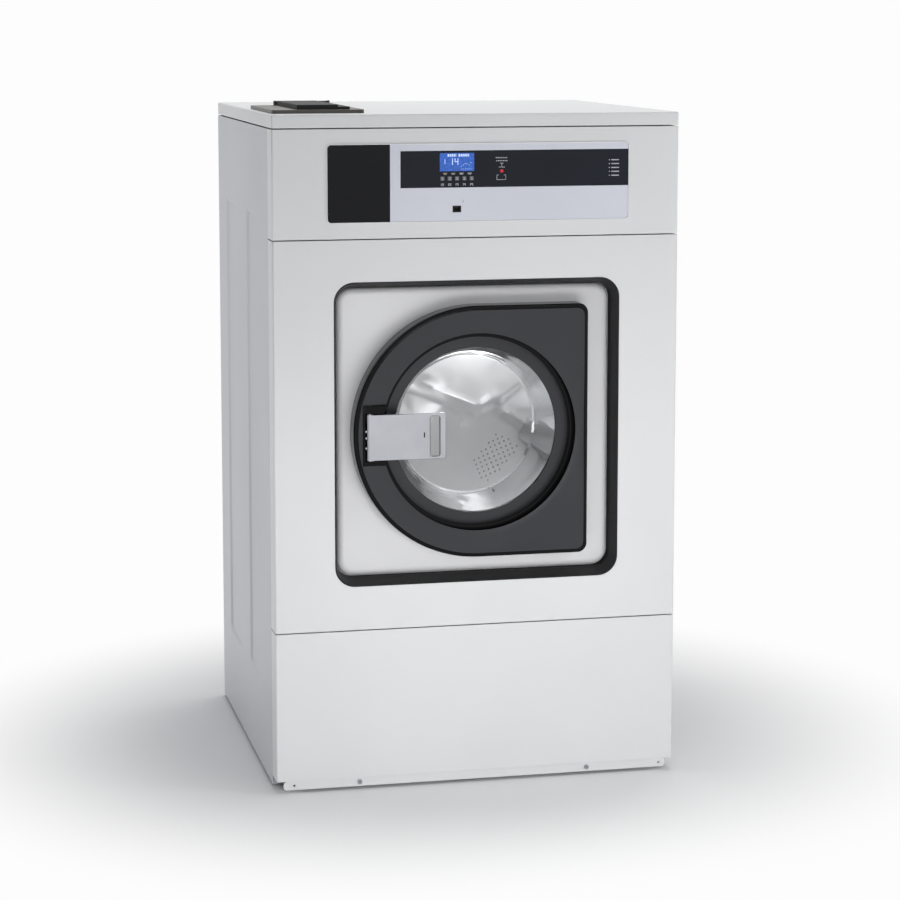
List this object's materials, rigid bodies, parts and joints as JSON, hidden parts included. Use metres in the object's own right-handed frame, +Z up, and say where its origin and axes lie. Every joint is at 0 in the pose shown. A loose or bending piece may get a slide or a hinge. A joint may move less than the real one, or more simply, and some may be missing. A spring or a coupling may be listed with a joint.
{
  "type": "washer extractor",
  "caption": "Front-loading commercial washer-extractor: grey casing, round glass door in a raised surround, control strip and soap hopper on top.",
  "frame": {"origin": "floor, under the middle of the overall width and depth (drain outlet and handle included)", "axes": "+X to the viewer's right, -Y towards the user at the door side, +Z up"},
  "size_m": [0.692, 0.7086, 1.151],
  "materials": {
    "casing_grey": "satin light grey powder coat",
    "casing_side": "satin grey powder coat",
    "surround_light": "satin light paint",
    "overlay_light": "matte printed film",
    "black_gloss": "gloss black",
    "face_grey": "satin dark grey",
    "lever_grey": "satin anodised",
    "key_grey": "matte",
    "black_matte": "matte black",
    "board": "gloss, lit blue screen",
    "glass": "clear",
    "rubber": "matte",
    "stainless": "brushed stainless",
    "stainless_bright": "polished stainless",
    "frame_steel": "dark grey paint",
    "cast": "painted casting",
    "machined": "machined steel",
    "spider_cast": "cast",
    "hopper_grey": "matte",
    "hopper_lid_grey": "matte",
    "inverter_grey": "matte",
    "valve_white": "matte",
    "zinc": "zinc plated"
  },
  "bodies": {
    "casing": {"base_frame": "frame_steel", "body_frame": "frame_steel", "left_side_panel": "casing_side", "right_side_panel": "casing_side", "hopper_body": "hopper_grey", "worktop": "casing_grey", "control_overlay": "overlay_light", "display_lens": "black_gloss", "service_port": "black_matte", "control_board": "board", "control_fascia": "casing_grey", "front_panel": "casing_grey", "lower_front_panel": "casing_grey", "plinth_strip": "casing_grey", "door_surround": "surround_light", "cutout_trim": "black_matte", "hinge_ears": "zinc", "door_lock": "black_matte", "door_gasket": "rubber", "tub_shell": "stainless", "tub_front": "stainless", "tub_back": "stainless", "bearing_housing": "cast", "shaft_bearings": "machined", "tub_supports": "frame_steel", "motor_body": "cast", "drive_belt": "rubber", "inverter_box": "inverter_grey", "heating_elements": "stainless", "fill_hose": "rubber", "drain_valve": "valve_white", "drain_pipe": "black_matte", "rear_top_panel": "casing_side", "rear_cover": "casing_side", "rear_bottom_panel": "casing_side", "inlet_valves": "valve_white", "cable_gland": "black_matte", "casing_screws": "zinc"},
    "door": {"door_frame": "black_gloss", "door_face": "face_grey", "glass_ring": "face_grey", "door_glass": "glass", "handle_housing": "black_gloss", "door_pins": "machined"},
    "handle": {"handle_lever": "lever_grey"},
    "latch": {"latch_bolt": "machined"},
    "drum": {"drum_shell": "stainless_bright", "drum_mouth": "stainless", "drum_back": "stainless_bright", "drum_lifters": "stainless", "drum_spider": "spider_cast", "drum_shaft": "machined", "drum_pulley": "cast"},
    "motor_rotor": {"motor_rotor": "machined"},
    "hopper_lid": {"hopper_lid": "hopper_lid_grey"},
    "key_1": {"key_1": "key_grey"},
    "key_2": {"key_2": "key_grey"},
    "key_3": {"key_3": "key_grey"},
    "key_4": {"key_4": "key_grey"},
    "key_5": {"key_5": "key_grey"}
  },
  "joints": [
    {"name": "door_hinge", "type": "hinge", "parent": "casing", "child": "door", "pos_m": [0.18, -0.33875, 0.605], "axis": [0, 0, 1], "range_deg": [0, 95]},
    {"name": "handle_pivot", "type": "hinge", "parent": "door", "child": "handle", "pos_m": [-0.186, -0.34575, 0.6025], "axis": [0, 0, -1], "range_deg": [0, 25], "stiffness_Nm_per_rad": 2},
    {"name": "latch_slide", "type": "slide", "parent": "door", "child": "latch", "axis": [1, 0, 0], "range_m": [0, 0.008]},
    {"name": "drum_spin", "type": "hinge", "parent": "casing", "child": "drum", "pos_m": [0, 0, 0.605], "axis": [0, 1, 0], "continuous": true},
    {"name": "motor_spin", "type": "hinge", "parent": "casing", "child": "motor_rotor", "pos_m": [0.15, 0.26125, 0.15], "axis": [0, 1, 0], "continuous": true},
    {"name": "hopper_lid_hinge", "type": "hinge", "parent": "casing", "child": "hopper_lid", "pos_m": [-0.2485, -0.05025, 1.1469], "axis": [-1, 0, 0], "range_deg": [0, 95]},
    {"name": "key_1_press", "type": "slide", "parent": "casing", "child": "key_1", "axis": [0, 1, 0], "range_m": [0, 0.0008], "stiffness_N_per_m": 600},
    {"name": "key_2_press", "type": "slide", "parent": "casing", "child": "key_2", "axis": [0, 1, 0], "range_m": [0, 0.0008], "stiffness_N_per_m": 600},
    {"name": "key_3_press", "type": "slide", "parent": "casing", "child": "key_3", "axis": [0, 1, 0], "range_m": [0, 0.0008], "stiffness_N_per_m": 600},
    {"name": "key_4_press", "type": "slide", "parent": "casing", "child": "key_4", "axis": [0, 1, 0], "range_m": [0, 0.0008], "stiffness_N_per_m": 600},
    {"name": "key_5_press", "type": "slide", "parent": "casing", "child": "key_5", "axis": [0, 1, 0], "range_m": [0, 0.0008], "stiffness_N_per_m": 600}
  ],
  "couplings": [
    {"joint": "latch_slide", "follows": "handle_pivot", "m_per_rad": 0.0183},
    {"joint": "motor_spin", "follows": "drum_spin", "ratio": 5.4286}
  ]
}
